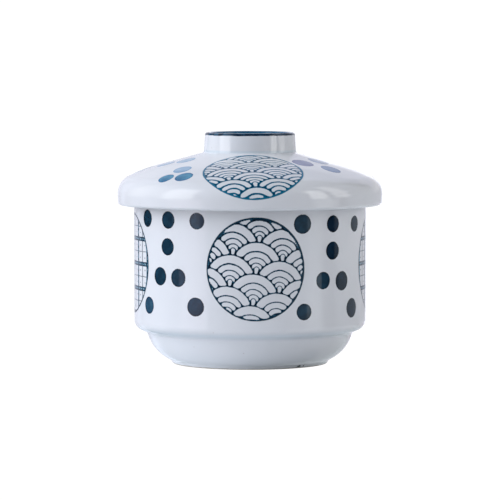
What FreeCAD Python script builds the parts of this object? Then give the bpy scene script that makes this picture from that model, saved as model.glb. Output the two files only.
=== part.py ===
import FreeCAD, Part
import math
import os

import Sketcher

# A lidded rice bowl in porcelain, two pieces: the bowl, and a cap lid that rests on its rim.
# Millimetres, +Z up, with the origin on the table under the centre of the foot ring.
# Both pieces are turned on the potter's wheel, so each is revolved from half outlines on its
# own XZ plane, where a point is a radius and a height. The lid has a frame of its own, with
# its lower edge at height 0, and its Placement sets it down on the bowl.

SIZES = [
    # The outside of the bowl, from the table up.
    ("foot_radius", 35.05, "outer edge of the foot ring on the table"),
    ("foot_land", 3.4, "width of the flat ring that the bowl stands on"),
    ("foot_hollow", 2.4, "depth of the hollow inside the foot ring"),
    ("foot_top_radius", 36.25, "where the foot ring meets the belly"),
    ("foot_top_height", 1.65, "height of the foot ring's outer side"),
    ("belly_radius", 46.8, "top of the rounded belly, under the step"),
    ("belly_height", 14.2, "height of the top of the belly"),
    ("belly_bend", 18.6, "radius of the belly's curve"),
    ("step_radius", 52.5, "lower end of the wall, where the step comes out to it"),
    ("step_height", 16.8, "height of the step's outer corner before rounding"),
    ("rim_radius", 52.6, "outer radius of the wall at the rim"),
    ("rim_height", 81.1, "height of the bowl's rim"),
    # The inside of the bowl.
    ("wall", 4.2, "thickness of the wall at the rim"),
    ("floor_height", 7.0, "height of the inside floor"),
    ("floor_corner", 48.1, "radius of the inside wall where the curve from the floor reaches it"),
    ("inside_bend", 23.0, "radius of the curve from the floor to the inside wall"),
    # The roundings of the bowl.
    ("foot_rounding", 0.5, "both edges of the foot ring's land, and the hollow's corner"),
    ("waist_rounding", 1.2, "hollow corners above the foot ring and under the step"),
    ("step_rounding", 4.5, "outer corner of the step"),
    ("rim_rounding", 1.95, "both edges of the rim"),
    # The outside of the lid, from its lower edge up.
    ("lid_rest", 71.9, "height of the lid's lower edge above the table, lid closed"),
    ("skirt_radius", 59.85, "outer radius of the skirt at its lower edge"),
    ("shoulder_radius", 60.2, "largest radius of the lid"),
    ("shoulder_height", 10.25, "height of the shoulder's corner before rounding"),
    ("dome_radius", 40.0, "where the dome's curve turns into its straight cone"),
    ("dome_height", 18.5, "height of that turn"),
    ("dome_bend", 86.0, "radius of the dome's curve"),
    ("knob_base_radius", 20.95, "outer radius of the knob ring at its base"),
    ("knob_base_height", 23.6, "height of the knob ring's base"),
    ("knob_radius", 20.4, "outer radius of the knob ring at its lip"),
    ("knob_height", 32.7, "height of the knob ring's lip"),
    ("knob_wall", 2.8, "thickness of the knob ring at its lip"),
    ("knob_floor_radius", 17.3, "radius of the floor inside the knob ring"),
    ("knob_floor_height", 25.1, "height of the floor inside the knob ring"),
    # The inside of the lid.
    ("skirt_wall", 4.3, "thickness of the skirt at its lower edge"),
    ("vault_radius", 55.2, "radius of the inside corner before rounding"),
    ("vault_height", 7.42, "height of the inside corner before rounding"),
    ("vault_top", 20.6, "height of the underside of the dome at its middle"),
    ("vault_bend", 122.2, "radius of the underside of the dome, which rests on the rim"),
    # The roundings of the lid.
    ("shoulder_rounding", 9.0, "outer corner of the shoulder"),
    ("vault_rounding", 4.5, "inside corner of the shoulder"),
    ("skirt_outer_rounding", 1.4, "outer edge of the skirt"),
    ("skirt_inner_rounding", 1.9, "inner edge of the skirt"),
    ("knob_foot_rounding", 0.8, "hollow corner where the knob ring stands on the dome"),
    ("lip_rounding", 1.25, "both edges of the knob ring's lip"),
    ("knob_inside_rounding", 1.6, "corner of the floor inside the knob ring"),
    # Cutting tools run this far past the surface that they cut through.
    ("overrun", 1.0, "how far a cut starts outside the solid"),
]
VALUE = {alias: value for alias, value, meaning in SIZES}
NEAR = 1e-4


def number(words):
    """The value of a sum of sizes, such as "rim_radius - wall"."""
    if words == "0":
        return 0.0
    total = 0.0
    sign = 1
    for word in words.split():
        if word in ("+", "-"):
            sign = 1 if word == "+" else -1
        else:
            total += sign * VALUE[word]
    return total


def expression(words):
    """The same sum of sizes as an expression that reads them from the sheet."""
    return " ".join(word if word in ("+", "-") else f"Sizes.{word}" for word in words.split())


def fill_sheet(doc):
    """Puts each size in a cell of its own, named by its alias."""
    sheet = doc.addObject("Spreadsheet::Sheet", "Sizes")
    for row, (alias, value, meaning) in enumerate(SIZES, start=1):
        sheet.set(f"A{row}", meaning)
        sheet.set(f"B{row}", str(value))
        sheet.setAlias(f"B{row}", alias)
    doc.recompute()


def arc_between(start, end, bend):
    """An anticlockwise arc from start to end with the radius bend, its centre to their left."""
    chord = end - start
    middle = (start + end) * 0.5
    left = FreeCAD.Vector(-chord.y, chord.x, 0).normalize()
    centre = middle + left * math.sqrt(bend ** 2 - (chord.Length / 2) ** 2)
    angles = [math.atan2(point.y - centre.y, point.x - centre.x) for point in (start, end)]
    circle = Part.Circle(centre, FreeCAD.Vector(0, 0, 1), bend)
    return Part.ArcOfCircle(circle, angles[0], angles[1])


def bind(sketch, constraint, words):
    """Adds a dimension to the sketch and binds it to the sheet."""
    index = sketch.addConstraint(constraint)
    sketch.setExpression(f"Constraints[{index}]", expression(words))


def place_point(sketch, index, radius, height):
    """Fixes where line or arc number index starts."""
    origin, start = (-1, 1), (index, 1)
    if radius == "0":
        sketch.addConstraint(Sketcher.Constraint("PointOnObject", *start, -2))
    else:
        bind(sketch, Sketcher.Constraint("DistanceX", *origin, *start, number(radius)), radius)
    if height == "0":
        sketch.addConstraint(Sketcher.Constraint("PointOnObject", *start, -1))
    else:
        bind(sketch, Sketcher.Constraint("DistanceY", *origin, *start, number(height)), height)


def outline(body, name, points):
    """Draws a closed half outline, anticlockwise, on the body's XZ plane.

    A point is (radius, height), each a sum of sizes. A third entry is the radius of the arc
    that leads from that point to the next one, bulging away from the outline's inside.
    """
    plane = next(item for item in body.Origin.OriginFeatures if item.Role == "XZ_Plane")
    sketch = body.newObject("Sketcher::SketchObject", name)
    sketch.AttachmentSupport = (plane, [""])
    sketch.MapMode = "FlatFace"
    spots = [FreeCAD.Vector(number(point[0]), number(point[1]), 0) for point in points]
    bends = [point[2] if len(point) == 3 else None for point in points]
    for spot, following, bend in zip(spots, spots[1:] + spots[:1], bends):
        if bend:
            sketch.addGeometry(arc_between(spot, following, number(bend)), False)
        else:
            sketch.addGeometry(Part.LineSegment(spot, following), False)
    for index in range(len(points)):
        following = (index + 1) % len(points)
        sketch.addConstraint(Sketcher.Constraint("Coincident", index, 2, following, 1))
    for index, (point, bend) in enumerate(zip(points, bends)):
        place_point(sketch, index, point[0], point[1])
        if bend:
            bind(sketch, Sketcher.Constraint("Radius", index, number(bend)), bend)
    return sketch


def revolve(body, kind, name, points):
    """Turns an outline about the Z axis: kind is Revolution, which adds, or Groove, which cuts."""
    before = body.Shape.Volume if body.Tip else 0.0
    sketch = outline(body, name + "_outline", points)
    feature = body.newObject(f"PartDesign::{kind}", name)
    feature.Profile = sketch
    feature.ReferenceAxis = (sketch, ["V_Axis"])
    feature.Angle = 360
    body.Document.recompute()
    change = body.Shape.Volume - before
    if (change > 0) != (kind == "Revolution"):
        raise RuntimeError(f"{name} changed the volume by {change:.1f} mm3")


def edge_at(shape, radius, height):
    """The name of the circular edge with that radius and height."""
    for index, edge in enumerate(shape.Edges, start=1):
        if edge.Degenerated or not isinstance(edge.Curve, Part.Circle):
            continue
        off_radius = abs(edge.Curve.Radius - radius)
        off_height = abs(edge.Curve.Center.z - height)
        if off_radius < NEAR and off_height < NEAR:
            return f"Edge{index}"
    raise RuntimeError(f"no edge at radius {radius} and height {height}")


def round_edges(body, name, rounding, corners):
    """Rounds the circular edges that pass through the given (radius, height) corners."""
    base = body.Tip
    names = [edge_at(base.Shape, number(radius), number(height)) for radius, height in corners]
    feature = body.newObject("PartDesign::Fillet", name)
    feature.Base = (base, names)
    feature.setExpression("Radius", expression(rounding))
    body.Document.recompute()


def make_bowl(doc):
    """The bowl: a foot ring, a rounded belly, a step, and a tall straight wall."""
    body = doc.addObject("PartDesign::Body", "Bowl")
    body.Label = "bowl"
    inner_radius = "rim_radius - wall"
    land_inside = "foot_radius - foot_land"
    revolve(body, "Revolution", "bowl_outside", [
        ("0", "0"),
        ("foot_radius", "0"),
        ("foot_top_radius", "foot_top_height", "belly_bend"),
        ("belly_radius", "belly_height"),
        ("step_radius", "step_height"),
        ("rim_radius", "rim_height"),
        ("0", "rim_height"),
    ])
    revolve(body, "Groove", "bowl_inside", [
        ("0", "floor_height"),
        ("floor_corner - inside_bend", "floor_height", "inside_bend"),
        ("floor_corner", "floor_height + inside_bend"),
        (inner_radius, "rim_height"),
        (inner_radius, "rim_height + overrun"),
        ("0", "rim_height + overrun"),
    ])
    revolve(body, "Groove", "foot_recess", [
        ("0", "- overrun"),
        (land_inside, "- overrun"),
        (land_inside, "foot_hollow"),
        ("0", "foot_hollow"),
    ])
    round_edges(body, "step_round", "step_rounding", [("step_radius", "step_height")])
    round_edges(body, "waist_round", "waist_rounding", [
        ("foot_top_radius", "foot_top_height"),
        ("belly_radius", "belly_height"),
    ])
    round_edges(body, "foot_round", "foot_rounding", [
        ("foot_radius", "0"),
        (land_inside, "0"),
        (land_inside, "foot_hollow"),
    ])
    round_edges(body, "rim_round", "rim_rounding", [
        ("rim_radius", "rim_height"),
        (inner_radius, "rim_height"),
    ])
    return body


def make_lid(doc):
    """The lid: a skirt that caps the bowl's rim, a low dome, and a hollow ring for a knob."""
    body = doc.addObject("PartDesign::Body", "Lid")
    body.Label = "lid"
    lip_inside = "knob_radius - knob_wall"
    skirt_inside = "skirt_radius - skirt_wall"
    revolve(body, "Revolution", "lid_outside", [
        ("0", "0"),
        ("skirt_radius", "0"),
        ("shoulder_radius", "shoulder_height", "dome_bend"),
        ("dome_radius", "dome_height"),
        ("knob_base_radius", "knob_base_height"),
        ("knob_radius", "knob_height"),
        ("0", "knob_height"),
    ])
    revolve(body, "Groove", "lid_inside", [
        ("0", "- overrun"),
        (skirt_inside, "- overrun"),
        (skirt_inside, "0"),
        ("vault_radius", "vault_height", "vault_bend"),
        ("0", "vault_top"),
    ])
    revolve(body, "Groove", "knob_recess", [
        ("0", "knob_floor_height"),
        ("knob_floor_radius", "knob_floor_height"),
        (lip_inside, "knob_height"),
        (lip_inside, "knob_height + overrun"),
        ("0", "knob_height + overrun"),
    ])
    round_edges(body, "shoulder_round", "shoulder_rounding", [
        ("shoulder_radius", "shoulder_height"),
    ])
    round_edges(body, "vault_round", "vault_rounding", [("vault_radius", "vault_height")])
    round_edges(body, "skirt_outer_round", "skirt_outer_rounding", [("skirt_radius", "0")])
    round_edges(body, "skirt_inner_round", "skirt_inner_rounding", [(skirt_inside, "0")])
    round_edges(body, "knob_foot_round", "knob_foot_rounding", [
        ("knob_base_radius", "knob_base_height"),
    ])
    round_edges(body, "knob_inside_round", "knob_inside_rounding", [
        ("knob_floor_radius", "knob_floor_height"),
    ])
    round_edges(body, "lip_round", "lip_rounding", [
        ("knob_radius", "knob_height"),
        (lip_inside, "knob_height"),
    ])
    body.setExpression("Placement.Base.z", expression("lid_rest"))
    return body


def check(doc, pieces):
    """Stops before anything is written if a feature failed or a piece isn't one sound solid."""
    failed = [item.Name for item in doc.Objects if {"Invalid", "Error"} & set(item.State)]
    if failed:
        raise RuntimeError(f"failed features: {failed}")
    for piece in pieces:
        shape = piece.Shape
        if shape.isNull() or not shape.isValid() or len(shape.Solids) != 1:
            raise RuntimeError(f"{piece.Label} is not one valid solid")


def main():
    os.makedirs("parts", exist_ok=True)
    doc = FreeCAD.newDocument("rice_bowl")
    fill_sheet(doc)
    pieces = [make_bowl(doc), make_lid(doc)]
    doc.recompute()
    check(doc, pieces)
    for piece in pieces:
        piece.Shape.exportStep(f"parts/{piece.Label}.step")
        box = piece.Shape.BoundBox
        print(f"{piece.Label}: {piece.Shape.Volume:.0f} mm3, heights {box.ZMin:.2f} to {box.ZMax:.2f}")


main()
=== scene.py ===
import math
import random

import bmesh
import bpy
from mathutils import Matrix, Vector
from mathutils.bvhtree import BVHTree

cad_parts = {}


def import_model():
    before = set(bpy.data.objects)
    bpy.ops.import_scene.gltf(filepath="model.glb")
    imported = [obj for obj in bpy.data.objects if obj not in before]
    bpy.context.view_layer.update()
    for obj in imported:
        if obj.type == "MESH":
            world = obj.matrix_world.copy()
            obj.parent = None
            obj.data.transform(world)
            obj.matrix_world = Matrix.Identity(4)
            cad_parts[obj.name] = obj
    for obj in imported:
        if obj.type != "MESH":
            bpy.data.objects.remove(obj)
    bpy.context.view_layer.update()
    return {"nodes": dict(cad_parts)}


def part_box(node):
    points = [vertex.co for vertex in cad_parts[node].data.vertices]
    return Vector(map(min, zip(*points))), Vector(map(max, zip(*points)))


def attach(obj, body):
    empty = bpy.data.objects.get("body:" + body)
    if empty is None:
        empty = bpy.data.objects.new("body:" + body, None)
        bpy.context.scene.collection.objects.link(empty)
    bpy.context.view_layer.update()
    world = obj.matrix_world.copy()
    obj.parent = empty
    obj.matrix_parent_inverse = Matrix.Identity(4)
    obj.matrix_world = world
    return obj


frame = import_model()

# Azimuths are in degrees round the upright axis: 0 faces the camera and positive turns to the right.
# Lengths in the tables are in millimetres, and everything that is built is in metres.
MM = 0.001

# Printed decoration on the bowl's wall.
WALL_RADIUS = 52.5
WALL_MEDALLION_HEIGHT = 46.0
WALL_MEDALLION_RADIUS = 22.5
WALL_STRETCH = (0.985, 1.015)
WALL_WAVES = {"front_waves": 2.9, "back_waves": 182.9}
WALL_GRIDS = {"left_grid": -83.5, "right_grid": 91.7}
# One group of dots as (along the wall, height, radius, ink), about the middle of the group's azimuth.
DARK_DOT = "wall_dots_dark"
MID_DOT = "wall_dots_mid"
PALE_DOT = "wall_dots_pale"
LEFT_GROUP = (
    (-15.2, 67.0, 4.0, MID_DOT),
    (0.2, 66.9, 4.0, MID_DOT),
    (15.9, 66.9, 3.8, MID_DOT),
    (-0.2, 55.0, 3.95, MID_DOT),
    (-5.1, 41.7, 4.2, MID_DOT),
    (6.1, 41.5, 4.15, MID_DOT),
    (-13.8, 28.2, 3.95, PALE_DOT),
    (15.2, 29.0, 4.3, MID_DOT),
)
RIGHT_GROUP = (
    (-16.2, 65.6, 4.4, MID_DOT),
    (0.5, 65.2, 3.9, DARK_DOT),
    (17.1, 64.5, 3.7, DARK_DOT),
    (0.3, 53.3, 4.15, DARK_DOT),
    (-5.3, 40.3, 4.0, MID_DOT),
    (6.5, 39.6, 4.45, DARK_DOT),
    (-15.4, 26.8, 3.8, MID_DOT),
    (14.5, 27.0, 4.5, DARK_DOT),
)
DOT_GROUPS = (
    (-43.8, LEFT_GROUP),
    (43.8, RIGHT_GROUP),
    (136.2, LEFT_GROUP),
    (-136.2, RIGHT_GROUP),
)

# Printed decoration on the lid, placed on the lid's cone rolled out flat.
CONE_ANGLE = math.radians(15)
KNOB_FOOT_RADIUS = 20.95
LID_MEDALLION_PLACE = 23.8
LID_MEDALLION_RADIUS = 21.9
LID_MEDALLIONS = {"lid_front_waves": 1.8, "lid_back_waves": 181.8}
LID_STRETCH = (1.02, 1.0)
BLUE_DOT = "lid_dots_blue"
WATERY_DOT = "lid_dots_watery"
VIOLET_DOT = "lid_dots_violet"
SLATE_DOT = "lid_dots_slate"
# Groups of three dots as (azimuth, way down from the knob, radius, ink).
LEFT_BLUE_DOTS = (
    (-43.6, 34.3, 3.75, BLUE_DOT),
    (-34.1, 32.4, 4.3, BLUE_DOT),
    (-42.25, 24.5, 4.35, WATERY_DOT),
)
LEFT_PALE_DOTS = (
    (-61.6, 12.1, 4.55, WATERY_DOT),
    (-73.7, 19.05, 4.4, WATERY_DOT),
    (-90.0, 28.6, 4.4, WATERY_DOT),
)
RIGHT_DOTS = (
    (41.6, 15.0, 5.1, VIOLET_DOT),
    (63.7, 13.6, 5.05, SLATE_DOT),
    (53.2, 24.8, 4.75, SLATE_DOT),
)


def half_turn(group):
    """The same dots on the other side of the lid."""
    return tuple((azimuth + 180, *rest) for azimuth, *rest in group)


LID_DOTS = (
    *LEFT_BLUE_DOTS,
    *LEFT_PALE_DOTS,
    *half_turn(LEFT_BLUE_DOTS),
    *RIGHT_DOTS,
    *half_turn(RIGHT_DOTS),
)

# A print is a thin closed disc that stands a hair above the surface and reaches a little into it.
PRINT_RISE = 0.05 * MM
PRINT_DEPTH = 0.15 * MM
MEDALLION_MARGIN = 0.3
MEDALLION_RINGS = 26
MEDALLION_SEGMENTS = 120
DOT_RINGS = 5
DOT_SEGMENTS = 48
DOT_WAVES = (2, 3, 4, 7)
DOT_UNEVENNESS = 0.030


def linear(red, green, blue):
    """A screen colour from 0 to 255 as the linear colour that Blender works in."""
    channels = []
    for value in (red, green, blue):
        c = value / 255
        channels.append(c / 12.92 if c <= 0.04045 else ((c + 0.055) / 1.055) ** 2.4)
    return (*channels, 1.0)


# ---------------------------------------------------------------- formulas in node trees


class Term:
    """A number inside a node tree, so that a pattern can be written as a formula."""

    def __init__(self, tree, socket):
        self.tree = tree
        self.socket = socket

    def maths(self, operation, *others):
        node = self.tree.nodes.new("ShaderNodeMath")
        node.operation = operation
        for plug, value in zip(node.inputs, (self, *others)):
            if isinstance(value, Term):
                self.tree.links.new(value.socket, plug)
            else:
                plug.default_value = value
        return Term(self.tree, node.outputs[0])

    def __add__(self, other):
        return self.maths("ADD", other)

    def __sub__(self, other):
        return self.maths("SUBTRACT", other)

    def __mul__(self, other):
        return self.maths("MULTIPLY", other)

    def __truediv__(self, other):
        return self.maths("DIVIDE", other)

    def below(self, other):
        return self.maths("LESS_THAN", other)

    def least(self, other):
        return self.maths("MINIMUM", other)

    def most(self, other):
        return self.maths("MAXIMUM", other)

    def size(self):
        return self.maths("ABSOLUTE")

    def root(self):
        return self.maths("SQRT")

    def whole(self):
        return self.maths("ROUND")

    def reverse(self, total=1.0):
        """total minus this number."""
        return self * -1.0 + total

    def wrapped(self, period):
        """The distance to the nearest multiple of period, with its sign."""
        return self - (self / period).whole() * period

    def ramp(self, low, high):
        """0 below low, 1 above high, with a smooth step between them."""
        node = self.tree.nodes.new("ShaderNodeMapRange")
        node.interpolation_type = "SMOOTHSTEP"
        self.tree.links.new(self.socket, node.inputs["Value"])
        node.inputs["From Min"].default_value = low
        node.inputs["From Max"].default_value = high
        return Term(self.tree, node.outputs["Result"])

    def fall(self, low, high):
        """1 below low, 0 above high, with a smooth step between them."""
        return self.ramp(low, high).reverse()

    def near(self, place, reach, flat=0.0):
        """1 within flat of a place and 0 beyond reach of it."""
        return (self - place).size().fall(flat, reach)

    def between(self, start, end):
        """start where this number is 0 and end where it is 1."""
        return self * (end - start) + start


def distance(x, y):
    return (x * x + y * y).root()


def coordinates(tree):
    """The place on the piece, in metres, as a vector socket and as three terms."""
    source = tree.nodes.new("ShaderNodeTexCoord").outputs["Object"]
    split = tree.nodes.new("ShaderNodeSeparateXYZ")
    tree.links.new(source, split.inputs[0])
    return source, [Term(tree, plug) for plug in split.outputs]


def stretched(tree, source, scale):
    """A vector socket with its three directions scaled."""
    node = tree.nodes.new("ShaderNodeMapping")
    node.inputs["Scale"].default_value = scale
    tree.links.new(source, node.inputs["Vector"])
    return node.outputs[0]


def noise(tree, source, scale, detail=2.0):
    node = tree.nodes.new("ShaderNodeTexNoise")
    node.inputs["Scale"].default_value = scale
    node.inputs["Detail"].default_value = detail
    tree.links.new(source, node.inputs["Vector"])
    return Term(tree, node.outputs[0])


# The mix node names its sockets alike for every kind of data, so its colours are found by number.
MIX_FIRST_COLOUR = 6
MIX_SECOND_COLOUR = 7
MIX_RESULT_COLOUR = 2


def blend(tree, factor, first, second):
    """A colour socket that is first where factor is 0 and second where it is 1."""
    node = tree.nodes.new("ShaderNodeMix")
    node.data_type = "RGBA"
    tree.links.new(factor.socket, node.inputs[0])
    plugs = (node.inputs[MIX_FIRST_COLOUR], node.inputs[MIX_SECOND_COLOUR])
    for plug, colour in zip(plugs, (first, second)):
        if isinstance(colour, bpy.types.NodeSocket):
            tree.links.new(colour, plug)
        else:
            plug.default_value = colour
    return node.outputs[MIX_RESULT_COLOUR]


# ---------------------------------------------------------------- materials

GLAZE = (0.80, 0.835, 0.88, 1)
GLAZE_GREY = (0.755, 0.80, 0.85, 1)
GLAZE_POOLED = (0.60, 0.71, 0.79, 1)
GLAZE_ROUGHNESS = 0.07
GLAZE_BUMP_STRENGTH = 0.22
GLAZE_BUMP_HEIGHT = 0.25 * MM
LID_SHADE = 0.94
SPECK = (0.45, 0.42, 0.40, 1)
# The bowl's bare foot is unglazed biscuit, in a colour made dark as a painted contact shadow along its
# bottom edge.
BISCUIT_AND_CONTACT_SHADOW = (0.42, 0.38, 0.33, 1)
LID_BISCUIT_AND_SHADE = (0.46, 0.43, 0.385, 1)
BISCUIT_ROUGHNESS = 0.75

# Where glaze gathers or is missing on the bowl.
WAIST_HEIGHT = 15.8 * MM
WAIST_RADIUS = 45.5 * MM
INSIDE_FLOOR_HEIGHT = 8.5 * MM
INSIDE_CORNER_RADIUS = 33 * MM
FOOT_OUTER_RADIUS = 34 * MM
FOOT_INNER_RADIUS = 31.9 * MM
# Two small dark marks low on the foot, as (azimuth, height, half width in degrees, half height).
FOOT_MARKS = (
    (37.6, 1.0, 1.9, 0.45),
    (41.9, 1.0, 0.7, 0.35),
)
FOOT_MARK_COLOUR = linear(26, 24, 26)

# Where glaze gathers, is missing or is painted over on the lid.
KNOB_HEIGHT = 8.4 * MM
KNOB_CORNER_RADIUS = 21.4 * MM
LIP_RADIUS = 18.6 * MM
LIP_BAND_INSIDE = 1.9 * MM
LIP_BAND_OUTSIDE = 1.2 * MM
LIP_DEEP = linear(8, 38, 60)
LIP_THIN = linear(46, 104, 138)
LIP_CREST = linear(150, 166, 184)
# A bare ring under the lid's skirt: an unglazed seat, made dark as painted shade so the wall below it is
# shaded more.
SKIRT_BARE_INNER_RADIUS = 54.4 * MM
SKIRT_BARE_OUTER_RADIUS = 58.3 * MM
SKIRT_BARE_HEIGHT = 1.5 * MM

NAVY = linear(12, 26, 42)
TEAL = linear(38, 86, 110)
GRID_WASH = linear(112, 156, 178)
GRID_PITCH = 11.0
GRID_BAR_HALF_WIDTH = 0.66
GRID_PLAIT = 2.6
# The wave prints. Sizes are the spacing along a row, the spacing of the rows and the radius of a scale.
# Arcs are the lines inside a scale, as shares of its radius, and each has its weight.
ARC_WEIGHTS = (1.1, 0.95, 0.8, 0.7)
ARC_DROP = 0.058
CORNER_ROUNDING = 0.09
FAR_AWAY = 99.0
WALL_PRINT = {
    "ring": WALL_MEDALLION_RADIUS,
    "sizes": (22.5, 6.9, 11.15),
    "arcs": (0.70, 0.455, 0.25, 0.10),
    "centre": (0.24, 0.58),
    "angle": 5.8,
    "lean": 0.03,
    "ring_width": 0.53,
    "line_width": 0.29,
    "thicker_up": 0.06,
    "deep": NAVY,
    "thin": TEAL,
    "ground_shade": 0.955,
    "ring_fade": 0.35,
}
LID_PRINT = {
    "ring": LID_MEDALLION_RADIUS,
    "sizes": (21.5, 6.6, 10.6),
    "arcs": (0.75, 0.51, 0.29, 0.12),
    "centre": (-0.6, -0.1),
    "angle": -4.5,
    "lean": 0.0,
    "ring_width": 0.36,
    "line_width": 0.42,
    "thicker_up": 0.01,
    "deep": linear(6, 52, 78),
    "thin": linear(24, 112, 146),
    "ground_shade": 0.89,
    "ring_fade": 0.9,
}
# How much darker each dot is drawn towards its lower side, as painted shade.
WALL_DOT_PAINTED_SHADE = 0.1
LID_DOT_PAINTED_SHADE = 0.4
DOT_INKS = (
    (DARK_DOT, linear(10, 22, 36), linear(18, 44, 66)),
    (MID_DOT, linear(14, 32, 48), linear(28, 64, 86)),
    (PALE_DOT, linear(26, 50, 76), linear(60, 98, 122)),
)
LID_DOT_INKS = (
    (BLUE_DOT, linear(24, 98, 142), linear(74, 152, 184)),
    (WATERY_DOT, linear(112, 156, 192), linear(158, 188, 214)),
    (VIOLET_DOT, linear(84, 98, 138), linear(124, 138, 172)),
    (SLATE_DOT, linear(84, 114, 152), linear(122, 148, 182)),
)


def shaded(colour, shade):
    return tuple(channel * shade for channel in colour[:3]) + (1,)


def glaze_colour(tree, source, shade=1.0):
    """White glaze with faint clouds, and a rare small speck of iron."""
    clouds = noise(tree, source, 45, 3).ramp(0.35, 0.75)
    colour = blend(tree, clouds * 0.5, shaded(GLAZE, shade), shaded(GLAZE_GREY, shade))
    speck = noise(tree, source, 900, 0).ramp(0.86, 0.89)
    return blend(tree, speck * 0.4, colour, SPECK)


def finish(tree, source, colour, bare=None):
    """Joins a colour to the shader, with the glaze's faint waves and its gloss, except where it is bare."""
    shader = tree.nodes["Principled BSDF"]
    tree.links.new(colour, shader.inputs["Base Color"])
    gloss = noise(tree, source, 120, 2) * 0.035 + GLAZE_ROUGHNESS
    if bare:
        gloss = bare * gloss.reverse(BISCUIT_ROUGHNESS) + gloss
    tree.links.new(gloss.socket, shader.inputs["Roughness"])
    turning = noise(tree, stretched(tree, source, (12, 12, 260)), 1.0, 1)
    waves = noise(tree, source, 55, 1)
    peel = noise(tree, source, 420, 1)
    height = turning * 0.35 + waves * 2.2 + peel * 0.15
    bump = tree.nodes.new("ShaderNodeBump")
    bump.inputs["Strength"].default_value = GLAZE_BUMP_STRENGTH
    bump.inputs["Distance"].default_value = GLAZE_BUMP_HEIGHT
    tree.links.new(height.socket, bump.inputs["Height"])
    tree.links.new(bump.outputs[0], shader.inputs["Normal"])


def new_material(name):
    material = bpy.data.materials.new(name)
    material.use_nodes = True
    shader = material.node_tree.nodes["Principled BSDF"]
    shader.inputs["IOR"].default_value = 1.5
    return material, material.node_tree


def around(x, y):
    """The azimuth of a point, in degrees."""
    return x.maths("ARCTAN2", y * -1.0) * (180 / math.pi)


def bowl_material():
    """Glaze that gathers at the waist and in the inside corner, a bare foot darkened as a painted contact
    shadow, and two small dark marks on the foot.
    """
    material, tree = new_material("bowl_glaze")
    source, (x, y, z) = coordinates(tree)
    radius = distance(x, y)
    colour = glaze_colour(tree, source)
    waist = z.near(WAIST_HEIGHT, 2.2 * MM) * radius.ramp(WAIST_RADIUS, WAIST_RADIUS + 1.5 * MM)
    colour = blend(tree, waist * 0.55, colour, GLAZE_POOLED)
    corner = z.near(INSIDE_FLOOR_HEIGHT, 6 * MM) * radius.near(INSIDE_CORNER_RADIUS, 12 * MM)
    colour = blend(tree, corner * 0.35, colour, GLAZE_POOLED)
    turn = around(x, y)
    outside = radius.ramp(FOOT_OUTER_RADIUS, FOOT_OUTER_RADIUS + 0.5 * MM)
    for azimuth, height, width, thick in FOOT_MARKS:
        mark = distance((turn - azimuth) / width, (z - height * MM) / (thick * MM))
        mark = (mark + noise(tree, source, 900, 2) - 0.5).fall(0.7, 1.1)
        colour = blend(tree, mark * outside, colour, FOOT_MARK_COLOUR)
    uneven = noise(tree, source, 160, 2) * (0.6 * MM)
    # The bare band along the foot's bottom edge: unglazed, and darkened as a painted contact shadow.
    bare = radius.ramp(FOOT_INNER_RADIUS, FOOT_INNER_RADIUS + 0.2 * MM)
    bare = bare * (z + uneven).fall(0.55 * MM, 0.8 * MM)
    colour = blend(tree, bare, colour, BISCUIT_AND_CONTACT_SHADOW)
    finish(tree, source, colour, bare)
    return material


def lid_material(skirt_edge, lid_top):
    """The same glaze, with a brushed blue band on the knob's lip and a bare ring under the skirt, made dark
    as painted shade under the lid.
    """
    material, tree = new_material("lid_glaze")
    source, (x, y, z) = coordinates(tree)
    radius = distance(x, y)
    colour = glaze_colour(tree, source, LID_SHADE)
    corner = z.near(lid_top - KNOB_HEIGHT, 0.9 * MM, 0.2 * MM) * radius.near(KNOB_CORNER_RADIUS, 1.4 * MM)
    colour = blend(tree, corner * 0.9, colour, GLAZE_POOLED)
    outside = radius.ramp(LIP_RADIUS, LIP_RADIUS + 0.6 * MM)
    brush = (noise(tree, source, 110, 2) - 0.5) * (0.7 * MM)
    depth = z.reverse(lid_top) + brush
    reach = outside.between(LIP_BAND_INSIDE, LIP_BAND_OUTSIDE)
    band = (depth - reach).fall(-0.1 * MM, 0.1 * MM)
    wash = noise(tree, source, 260, 3).ramp(0.42, 0.7) * 0.6
    wash = wash.most(outside.reverse() * 0.8)
    crest = depth.fall(0.05 * MM, 0.25 * MM)
    ink = blend(tree, crest * 0.6, blend(tree, wash, LIP_DEEP, LIP_THIN), LIP_CREST)
    colour = blend(tree, band, colour, ink)
    # The bare ring under the skirt: unglazed, and made dark as painted shade for the wall below.
    bare = radius.fall(SKIRT_BARE_OUTER_RADIUS, SKIRT_BARE_OUTER_RADIUS + 0.4 * MM)
    bare = bare * radius.ramp(SKIRT_BARE_INNER_RADIUS, SKIRT_BARE_INNER_RADIUS + 0.4 * MM)
    edge = skirt_edge + SKIRT_BARE_HEIGHT
    bare = bare * z.fall(edge, edge + 0.4 * MM)
    colour = blend(tree, bare, colour, LID_BISCUIT_AND_SHADE)
    finish(tree, source, colour, bare)
    return material


def print_place(tree):
    """Where a point is on its print, in millimetres from the print's middle."""
    node = tree.nodes.new("ShaderNodeUVMap")
    node.uv_map = "print"
    split = tree.nodes.new("ShaderNodeSeparateXYZ")
    tree.links.new(node.outputs[0], split.inputs[0])
    return node.outputs[0], Term(tree, split.outputs[0]), Term(tree, split.outputs[1])


def turned(x, y, angle):
    """The same place in axes turned by angle, in degrees."""
    c = math.cos(math.radians(angle))
    s = math.sin(math.radians(angle))
    return x * c - y * s, x * s + y * c


def rounded_join(first, second, radius):
    """The greater of two distances, with corners rounded to a radius: below zero where both are."""
    a = (first + radius).most(0.0)
    b = (second + radius).most(0.0)
    outside = (a * a + b * b).root()
    inside = (first + radius).most(second + radius).least(0.0)
    return inside + outside - radius


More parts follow.
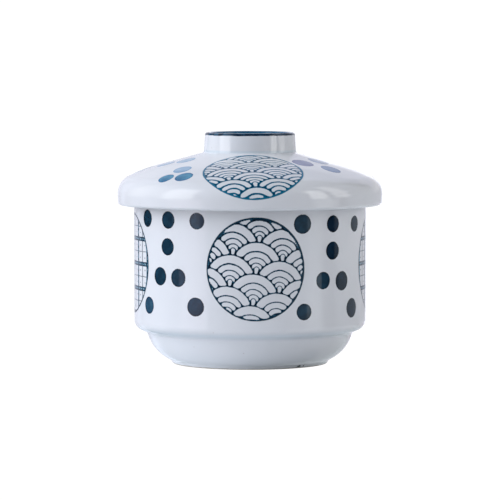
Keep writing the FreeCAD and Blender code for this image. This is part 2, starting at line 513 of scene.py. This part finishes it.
def wave_ink(x, y, edge, sizes, arcs, line):
    """How deep a point lies in the ink of the overlapping waves: below zero on the white bands."""
    spacing, row, radius = sizes
    base = (y / row).maths("FLOOR")
    front = None
    for step in (-1, 0, 1, 2):
        index = base + float(step)
        shift = (index * 0.5).maths("FRACT") * spacing
        here = ((x - shift).wrapped(spacing), y - index * row)
        gap = distance(*here) - radius
        inside = gap.below(0.0)
        if front is None:
            found = here
            front = gap * 0.0 + FAR_AWAY
            nearest = gap
            taken = inside
            continue
        free = taken.reverse()
        found = tuple(free * (new - old) + old for new, old in zip(here, found))
        front = free * (nearest - front) + front
        nearest = nearest.least(gap)
        taken = taken.most(inside)
    across, up = found
    arc = distance(across, (up + ARC_DROP * radius).most(0.0))
    own = distance(across, up).reverse(radius) - line
    for size, weight in zip(arcs, ARC_WEIGHTS):
        own = own.least((arc - size * radius).size() - line * weight)
    return rounded_join(own * -1.0, front.least(edge) * -1.0 + line, CORNER_ROUNDING * radius)


def waves_material(name, ring, sizes, arcs, centre, angle, lean, ring_width, line_width, thicker_up,
                   deep, thin, ground_shade, ring_fade):
    """Overlapping wave scales inside a ring, printed in blue under the glaze."""
    material, tree = new_material(name)
    source, _ = coordinates(tree)
    place, x, y = print_place(tree)
    wander = noise(tree, place, 0.35, 2) - 0.5
    drift = noise(tree, place, 0.22, 1) - 0.5
    grain = noise(tree, place, 1.3, 3) - 0.5
    radius = distance(x, y)
    ring_line = (x + y * 0.5) / ring * 0.12 + wander * 0.4 + grain * 0.3 + ring_width
    edge = radius.reverse(ring) - ring_line
    line = grain * 0.28 + wander * 0.16 - x / ring * 0.02 + y / ring * thicker_up + line_width
    across, up = turned(x - centre[0], y - centre[1], angle)
    across = across + wander * 0.5
    up = up + drift * 0.5 + across * lean
    depth = wave_ink(across, up, edge, sizes, arcs, line)
    outside = (radius + wander * 0.2 + grain * 0.12).ramp(ring - 0.05, ring + 0.05)
    ink = depth.ramp(-0.06, 0.06) * outside.reverse()
    at_ring = radius.reverse(ring).fall(0.3, 1.3)
    pooled = (depth + grain * 0.5).ramp(0.02, 1.4 * line_width) * (at_ring * ring_fade).reverse()
    colour = blend(tree, pooled, thin, deep)
    colour = blend(tree, ink, glaze_colour(tree, source, ground_shade), colour)
    finish(tree, source, colour)
    return material


def grid_material(name, ring):
    """A woven-looking grid of thick plaited bars, thin lines and dots inside a ring."""
    material, tree = new_material(name)
    source, _ = coordinates(tree)
    place, x, y = print_place(tree)
    wander = noise(tree, place, 0.5, 2) - 0.5
    grain = noise(tree, place, 1.3, 2) * 0.3 - 0.15
    radius = distance(x, y)
    ring_line = (radius.reverse(ring) + wander * 0.4 + grain).fall(0.75, 0.95)
    wash = (radius.reverse(ring) + wander * 0.4 + y.size() * 0.12).fall(2.1, 2.4)
    x = x + wander * 0.5 + 0.45
    y = y + wander * 0.5 - 0.2
    bars = None
    fill = None
    for across, along in ((x, y), (y, x)):
        offset = across.wrapped(GRID_PITCH).size()
        twist = ((along + across) / GRID_PLAIT).wrapped(1.0).size() * 2.0
        edge = (offset - GRID_BAR_HALF_WIDTH).size() + grain
        part = edge.fall(0.24, 0.38)
        strand = offset.fall(0.6, 0.72)
        part = part.most(strand * twist.fall(0.3, 0.6) * 0.9)
        bars = part if bars is None else bars.most(part)
        fill = strand if fill is None else fill.most(strand)
    middle = GRID_PITCH / 2
    upright = ((x - middle).wrapped(GRID_PITCH).size() + grain).fall(0.3, 0.5)
    level = ((y - middle).wrapped(GRID_PITCH).size() + grain).fall(0.1, 0.24)
    thin = upright.most(level) * 0.8
    small = distance((x - middle / 2).wrapped(middle), (y - middle / 2).wrapped(middle))
    small = (small + grain).fall(0.28, 0.42) * 0.9
    within = radius.fall(ring - 0.1, ring)
    ink = bars.most(thin).most(small).most(ring_line) * within
    pale = fill.most(wash) * within
    colour = blend(tree, pale * 0.85, glaze_colour(tree, source), GRID_WASH)
    pooled = noise(tree, place, 0.9, 2).ramp(0.35, 0.65)
    colour = blend(tree, ink, colour, blend(tree, pooled, TEAL, NAVY))
    finish(tree, source, colour)
    return material


def dot_material(name, deep, thin, painted_shade):
    """Brushed colour under the glaze: uneven inside, darker where it gathered at the edge, and darker
    towards its lower side as painted shade.
    """
    material, tree = new_material(name)
    source, _ = coordinates(tree)
    place, x, y = print_place(tree)
    radius = distance(x, y)
    cloud = noise(tree, source, 210, 3).ramp(0.38, 0.68)
    fine = noise(tree, source, 1500, 2).ramp(0.3, 0.8)
    gathered = radius.ramp(0.7, 0.96)
    # Painted shade: each dot darker towards its lower side, by the given share.
    lower_side_shade = y.fall(-0.9, 0.4)
    dark = gathered * 0.45 + cloud.reverse() * 0.5 + fine * 0.12 + lower_side_shade * painted_shade
    colour = blend(tree, dark.least(1.0), thin, deep)
    rim = (radius + fine * 0.03).ramp(0.965, 1.0)
    colour = blend(tree, rim, colour, glaze_colour(tree, source))
    finish(tree, source, colour)
    return material


# ---------------------------------------------------------------- places on the surfaces

# Rays that look for a surface start this far out, and the lid's outline is read from a point inside it.
CAST_DISTANCE = 90 * MM
OUTLINE_MIDDLE = Vector((0, -10 * MM, 60 * MM))
OUTLINE_DISTANCE = 80 * MM
OUTLINE_FIRST_ANGLE = 71.0
OUTLINE_LAST_ANGLE = 15.2
OUTLINE_STEPS = 300


def tree_of(node):
    data = node.data
    return BVHTree.FromPolygons([v.co for v in data.vertices], [p.vertices for p in data.polygons])


def outward(azimuth):
    """The level direction that points away from the axis at an azimuth in radians."""
    return Vector((math.sin(azimuth), -math.cos(azimuth), 0))


def wall_place(surface, azimuth, height):
    """A function from millimetres right of and above a point on the wall to (point, outward normal)."""
    middle = outward(math.radians(azimuth))
    start = middle * CAST_DISTANCE + Vector((0, 0, height * MM))
    radius = Vector(surface.ray_cast(start, -middle)[0][:2]).length

    def place(x, y):
        way = outward(math.radians(azimuth) + x * MM / radius)
        origin = way * CAST_DISTANCE + Vector((0, 0, (height + y) * MM))
        return surface.ray_cast(origin, -way)[0], way

    return place


def lid_outline(surface):
    """The lid's outline from the knob down, as rows of (way from the cone's tip, radius, height, tilt)."""
    points = []
    for step in range(OUTLINE_STEPS + 1):
        share = step / OUTLINE_STEPS
        angle = math.radians(OUTLINE_FIRST_ANGLE + (OUTLINE_LAST_ANGLE - OUTLINE_FIRST_ANGLE) * share)
        way = Vector((0, -math.cos(angle), math.sin(angle)))
        hit = surface.ray_cast(OUTLINE_MIDDLE + way * OUTLINE_DISTANCE, -way)[0]
        points.append((-hit.y, hit.z))
    rows = []
    way = points[0][0] / math.cos(CONE_ANGLE)
    for here, after in zip(points, points[1:]):
        tilt = math.atan2(here[1] - after[1], after[0] - here[0])
        rows.append((way, here[0], here[1], tilt))
        way += math.dist(here, after)
    return rows


def on_outline(rows, way):
    """Radius, height and tilt at a way from the cone's tip."""
    for first, second in zip(rows, rows[1:]):
        if way <= second[0] or second is rows[-1]:
            share = max(0.0, min(1.0, (way - first[0]) / (second[0] - first[0])))
            return [a + (b - a) * share for a, b in zip(first[1:], second[1:])]


def lid_place(surface, rows, azimuth, way):
    """As wall_place, on the lid: up points to the knob, and way is measured down from the knob's foot."""
    middle = KNOB_FOOT_RADIUS / math.cos(CONE_ANGLE) + way

    def place(x, y):
        far = math.hypot(x, middle - y)
        turn = math.atan2(x, middle - y) / math.cos(CONE_ANGLE)
        radius, height, tilt = on_outline(rows, far * MM)
        level = outward(math.radians(azimuth) + turn)
        normal = level * math.sin(tilt) + Vector((0, 0, math.cos(tilt)))
        point = level * radius + Vector((0, 0, height))
        hit = surface.ray_cast(point + normal * 0.002, -normal)[0]
        return (hit or point), normal

    return place


# ---------------------------------------------------------------- prints


def add_disc(bm, layer, place, radius, rings, segments, edge=lambda angle: 1.0, unit=1.0):
    """Adds a thin closed disc on a surface: place gives its points, and layer keeps the flat place."""
    flat = [(0.0, 0.0)]
    for ring in range(1, rings + 1):
        for step in range(segments):
            angle = 2 * math.pi * step / segments
            reach = radius * ring / rings * edge(angle)
            flat.append((reach * math.cos(angle), reach * math.sin(angle)))
    top = []
    bottom = []
    for x, y in flat:
        point, normal = place(x, y)
        top.append(bm.verts.new(point + normal * PRINT_RISE))
        bottom.append(bm.verts.new(point - normal * PRINT_DEPTH))
    at = {}
    for vert_top, vert_bottom, spot in zip(top, bottom, flat):
        at[vert_top] = spot
        at[vert_bottom] = spot

    def index(ring, step):
        return 1 + (ring - 1) * segments + step % segments

    outlines = []
    for step in range(segments):
        outlines.append((0, index(1, step), index(1, step + 1)))
        for ring in range(1, rings):
            outlines.append((index(ring, step), index(ring + 1, step),
                             index(ring + 1, step + 1), index(ring, step + 1)))
    faces = []
    for corners in outlines:
        faces.append(bm.faces.new([top[i] for i in corners]))
        faces.append(bm.faces.new([bottom[i] for i in reversed(corners)]))
    for step in range(segments):
        a = index(rings, step)
        b = index(rings, step + 1)
        faces.append(bm.faces.new((top[a], bottom[a], bottom[b], top[b])))
        bm.edges.get((top[a], top[b])).smooth = False
        bm.edges.get((bottom[a], bottom[b])).smooth = False
    for face in faces:
        face.smooth = True
        for loop in face.loops:
            spot = at[loop.vert]
            loop[layer].uv = (spot[0] / unit, spot[1] / unit)


def add_object(name, bm, material, body):
    data = bpy.data.meshes.new(name)
    bm.to_mesh(data)
    bm.free()
    data.materials.append(material)
    piece = bpy.data.objects.new(name, data)
    bpy.context.scene.collection.objects.link(piece)
    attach(piece, body)


def medallion(name, place, radius, stretch, material, body):
    """One round print, with a margin of plain glaze that the material draws outside its ring."""
    bm = bmesh.new()
    layer = bm.loops.layers.uv.new("print")

    def stretched_place(x, y):
        return place(x * stretch[0], y * stretch[1])

    reach = radius + MEDALLION_MARGIN
    add_disc(bm, layer, stretched_place, reach, MEDALLION_RINGS, MEDALLION_SEGMENTS)
    add_object(name, bm, material, body)


def uneven_edge(chance):
    """A round outline that a brush or a stamp made: nearly a circle, never quite."""
    waves = []
    for number in DOT_WAVES:
        phase = chance.uniform(0, 2 * math.pi)
        waves.append((number, phase, chance.uniform(0.3, 1.0) * DOT_UNEVENNESS / number))

    def edge(angle):
        return 1 + sum(size * math.cos(number * angle + phase) for number, phase, size in waves)

    return edge


def dots(name, places, material, body, chance):
    """Joins dots of one colour: places holds (place, radius) pairs."""
    bm = bmesh.new()
    layer = bm.loops.layers.uv.new("print")
    for place, radius in places:
        add_disc(bm, layer, place, radius, DOT_RINGS, DOT_SEGMENTS, uneven_edge(chance), radius)
    add_object(name, bm, material, body)


def wall_medallions(wall):
    waves = waves_material("wall_waves", **WALL_PRINT)
    grid = grid_material("wall_grid", WALL_MEDALLION_RADIUS)
    for azimuths, material in ((WALL_WAVES, waves), (WALL_GRIDS, grid)):
        for name, azimuth in azimuths.items():
            place = wall_place(wall, azimuth, WALL_MEDALLION_HEIGHT)
            medallion(name, place, WALL_MEDALLION_RADIUS, WALL_STRETCH, material, "bowl")


def lid_medallions(cover, rows):
    waves = waves_material("lid_waves", **LID_PRINT)
    for name, azimuth in LID_MEDALLIONS.items():
        place = lid_place(cover, rows, azimuth, LID_MEDALLION_PLACE)
        medallion(name, place, LID_MEDALLION_RADIUS, LID_STRETCH, waves, "lid")


def wall_dots(wall, chance):
    for name, deep, thin in DOT_INKS:
        places = []
        for azimuth, group in DOT_GROUPS:
            for along, height, radius, ink in group:
                if ink == name:
                    turn = azimuth + math.degrees(along / WALL_RADIUS)
                    places.append((wall_place(wall, turn, height), radius))
        material = dot_material(name + "_ink", deep, thin, WALL_DOT_PAINTED_SHADE)
        dots(name, places, material, "bowl", chance)


def lid_dots(cover, rows, chance):
    for name, deep, thin in LID_DOT_INKS:
        places = []
        for azimuth, way, radius, ink in LID_DOTS:
            if ink == name:
                places.append((lid_place(cover, rows, azimuth, way), radius))
        material = dot_material(name + "_ink", deep, thin, LID_DOT_PAINTED_SHADE)
        dots(name, places, material, "lid", chance)


# ---------------------------------------------------------------- studio


CAMERA_PLACE = Vector((0, -1.489, 0.149))
CAMERA_AIM = Vector((0, 0, 0.0511))
CAMERA_LENS = 236.6
CAMERA_SENSOR = 36


def camera():
    data = bpy.data.cameras.new("camera")
    data.sensor_width = CAMERA_SENSOR
    data.lens = CAMERA_LENS
    data.clip_start = 0.1
    data.clip_end = 50
    view = bpy.data.objects.new("camera", data)
    bpy.context.scene.collection.objects.link(view)
    view.location = CAMERA_PLACE
    view.rotation_euler = (CAMERA_AIM - CAMERA_PLACE).to_track_quat("-Z", "Y").to_euler()
    bpy.context.scene.camera = view


BACKDROP_STRENGTH = 1.05
# Soft lights, as (azimuth, elevation, sharpness, colour). The glaze's mirror images don't show them.
SKY = (
    (-82, 22, 2.5, (2.15, 2.15, 2.30)),
    (-80, 45, 3.0, (0.70, 0.72, 0.75)),
    (0, 60, 3.0, (0.05, 0.07, 0.10)),
    (60, 0, 4.0, (0.12, 0.12, 0.12)),
    (88, 8, 3.0, (1.30, 1.24, 1.20)),
)

# What the glaze mirrors, as (azimuth from, to, elevation from, to, softness, colour), in degrees.
MIRROR = (
    (-181, -139, -25, 50, 3.0, (0.50, 0.50, 0.60)),
    (-181, -162, -12, 30, 4.0, (0.26, 0.27, 0.28)),
    (136, 181, -9, 15, 3.0, (0.60, 0.61, 0.68)),
    (166, 181, -10, 12, 3.0, (0.50, 0.52, 0.60)),
    (139, 181, 15, 48, 2.0, (0.45, 0.47, 0.62)),
    (141, 181, 4, 30, 2.5, (0.30, 0.28, 0.28)),
    (139, 181, -14, -5.8, 1.0, (0.45, 0.42, 0.48)),
    (-125, -50, 0, 40, 4.0, (0.75, 0.70, 0.60)),
    (-82, -51, -2, 48, 3.0, (2.8, 2.8, 2.9)),
    (-72, -43, -20, -3, 2.0, (0.85, 0.70, 0.85)),
    (-100, -43, -14, -5.8, 0.8, (1.1, 1.05, 1.15)),
    (33, 50, 0, 9, 1.5, (0.25, 0.23, 0.23)),
    (54, 71, 0, 40, 2.5, (3.7, 3.7, 3.6)),
    (78, 97, 1, 51, 2.5, (2.4, 2.4, 2.4)),
    (40, 77, -20, -3, 1.5, (0.28, 0.32, 0.34)),
    (59, 75, -20, -3, 1.5, (0.70, 0.75, 0.75)),
    (55, 84, -14, -5.8, 0.8, (1.0, 1.0, 1.0)),
    (95, 136, -20, 24, 3.0, (0.50, 0.55, 0.60)),
    (95, 126, 24, 44, 2.0, (0.50, 0.55, 0.60)),
    (40, 181, -45, -12, 3.0, (0.40, 0.38, 0.38)),
    (-181, 181, -91, -14, 4.0, (0.40, 0.50, 0.55)),
)


def direction(azimuth, elevation):
    """The unit vector that far round from the front and that far above level."""
    turn = math.radians(azimuth)
    rise = math.radians(elevation)
    return math.sin(turn) * math.cos(rise), -math.cos(turn) * math.cos(rise), math.sin(rise)


def panel(turn, rise, west, east, low, high, soft):
    """One inside a patch of the surroundings, falling to nothing at its soft edges."""
    sides = turn.ramp(west - soft, west + soft) * turn.fall(east - soft, east + soft)
    return sides * rise.ramp(low - soft, low + soft) * rise.fall(high - soft, high + soft)


def background(tree, weights, colours):
    """A background shader whose colour is the weighted sum of the colours."""
    join = tree.nodes.new("ShaderNodeCombineColor")
    for channel in range(3):
        total = weights[0] * colours[0][channel]
        for weight, colour in zip(weights[1:], colours[1:]):
            total = total + weight * colour[channel]
        tree.links.new(total.socket, join.inputs[channel])
    shader = tree.nodes.new("ShaderNodeBackground")
    tree.links.new(join.outputs[0], shader.inputs["Color"])
    return shader


def choose(tree, flag, first, second):
    """A shader that is the second one for the flagged kind of ray."""
    mix = tree.nodes.new("ShaderNodeMixShader")
    path = tree.nodes.new("ShaderNodeLightPath")
    tree.links.new(path.outputs[flag], mix.inputs[0])
    tree.links.new(first.outputs[0], mix.inputs[1])
    tree.links.new(second.outputs[0], mix.inputs[2])
    return mix


def world():
    """White behind the bowl, soft light from each side, and panels for the glaze to mirror."""
    sky = bpy.data.worlds.new("studio")
    bpy.context.scene.world = sky
    sky.use_nodes = True
    tree = sky.node_tree
    tree.nodes.clear()
    split = tree.nodes.new("ShaderNodeSeparateXYZ")
    tree.links.new(tree.nodes.new("ShaderNodeTexCoord").outputs["Generated"], split.inputs[0])
    way = [Term(tree, plug) for plug in split.outputs]
    lobes = []
    for azimuth, elevation, sharpness, _ in SKY:
        x, y, z = direction(azimuth, elevation)
        lean = way[0] * x + way[1] * y + way[2] * z
        lobes.append(lean.most(0.0).maths("POWER", sharpness))
    light = background(tree, lobes, [row[-1] for row in SKY])
    turn = around(way[0], way[1])
    rise = way[2].maths("ARCSINE") * (180 / math.pi)
    panels = [panel(turn, rise, *row[:-1]) for row in MIRROR]
    mirrored = background(tree, panels, [row[-1] for row in MIRROR])
    white = tree.nodes.new("ShaderNodeBackground")
    white.inputs["Color"].default_value = (1, 1, 1, 1)
    white.inputs["Strength"].default_value = BACKDROP_STRENGTH
    lit = choose(tree, "Is Glossy Ray", light, mirrored)
    seen = choose(tree, "Is Camera Ray", lit, white)
    tree.links.new(seen.outputs[0], tree.nodes.new("ShaderNodeOutputWorld").inputs[0])


FLOOR_RADIUS = 0.6
SEEN_FLOOR_HEIGHT = -0.1 * MM
BOUNCE_FLOOR_HEIGHT = -0.2 * MM
# The lower sheet's colours: plain, with a painted shade to the right, a painted contact shadow at the foot,
# and a painted glow near the foot on the left.
BOUNCE = (0.80, 0.81, 0.83, 1)
BOUNCE_SHADE = (0.58, 0.58, 0.59, 1)
BOUNCE_CONTACT_SHADOW = (0.18, 0.18, 0.19, 1)
BOUNCE_GLOW = 0.16


def floor(name, height):
    """A round sheet level with the table, and its material's tree and shader."""
    bm = bmesh.new()
    bmesh.ops.create_circle(bm, cap_ends=True, radius=FLOOR_RADIUS, segments=96)
    data = bpy.data.meshes.new(name)
    bm.to_mesh(data)
    bm.free()
    sheet = bpy.data.objects.new(name, data)
    bpy.context.scene.collection.objects.link(sheet)
    sheet.location.z = height
    material, tree = new_material(name)
    shader = tree.nodes["Principled BSDF"]
    shader.inputs["Roughness"].default_value = 0.9
    shader.inputs["Specular IOR Level"].default_value = 0.0
    shader.inputs["Emission Color"].default_value = (1, 1, 1, 1)
    data.materials.append(material)
    return sheet, tree, shader


def stage():
    """A white floor for the camera, and one just under it that only lights the bowl.

    The lower one glows near the foot on the left, as painted light. On the right it is greyer as painted
    shade, and darkest at the foot as a painted contact shadow.
    """
    seen, _, shader = floor("floor", SEEN_FLOOR_HEIGHT)
    shader.inputs["Base Color"].default_value = (0, 0, 0, 1)
    shader.inputs["Emission Strength"].default_value = BACKDROP_STRENGTH
    seen.visible_diffuse = False
    seen.visible_glossy = False
    seen.visible_shadow = False
    below, tree, shader = floor("floor_bounce", BOUNCE_FLOOR_HEIGHT)
    _, (x, y, _) = coordinates(tree)
    radius = distance(x, y)
    # Painted shade on the lower sheet: greyer to the right, a painted contact shadow next to the foot, and
    # painted light glowing near the foot on the left.
    right = x.ramp(-0.04, 0.05)
    shade = right * radius.fall(0.045, 0.10)
    painted_contact_shadow = x.ramp(-0.03, 0.03) * radius.fall(0.036, 0.042)
    colour = blend(tree, painted_contact_shadow, blend(tree, shade, BOUNCE, BOUNCE_SHADE), BOUNCE_CONTACT_SHADOW)
    tree.links.new(colour, shader.inputs["Base Color"])
    glow = right.reverse() * radius.fall(0.038, 0.07) * BOUNCE_GLOW
    tree.links.new(glow.socket, shader.inputs["Emission Strength"])
    below.visible_camera = False
    below.visible_glossy = False


# ---------------------------------------------------------------- the scene


def coat(node, material):
    """Gives a CAD node one material and leaves its shape alone."""
    node.data.materials.clear()
    node.data.materials.append(material)
    node.data.polygons.foreach_set("material_index", [0] * len(node.data.polygons))


camera()
world()
stage()

bowl = frame["nodes"]["bowl"]
lid = frame["nodes"]["lid"]
coat(bowl, bowl_material())
lid_low, lid_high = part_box("lid")
coat(lid, lid_material(lid_low.z, lid_high.z))

wall = tree_of(bowl)
cover = tree_of(lid)
cover_rows = lid_outline(cover)
chance = random.Random(7)
wall_medallions(wall)
lid_medallions(cover, cover_rows)
wall_dots(wall, chance)
lid_dots(cover, cover_rows, chance)

bpy.context.scene.view_settings.view_transform = "Standard"
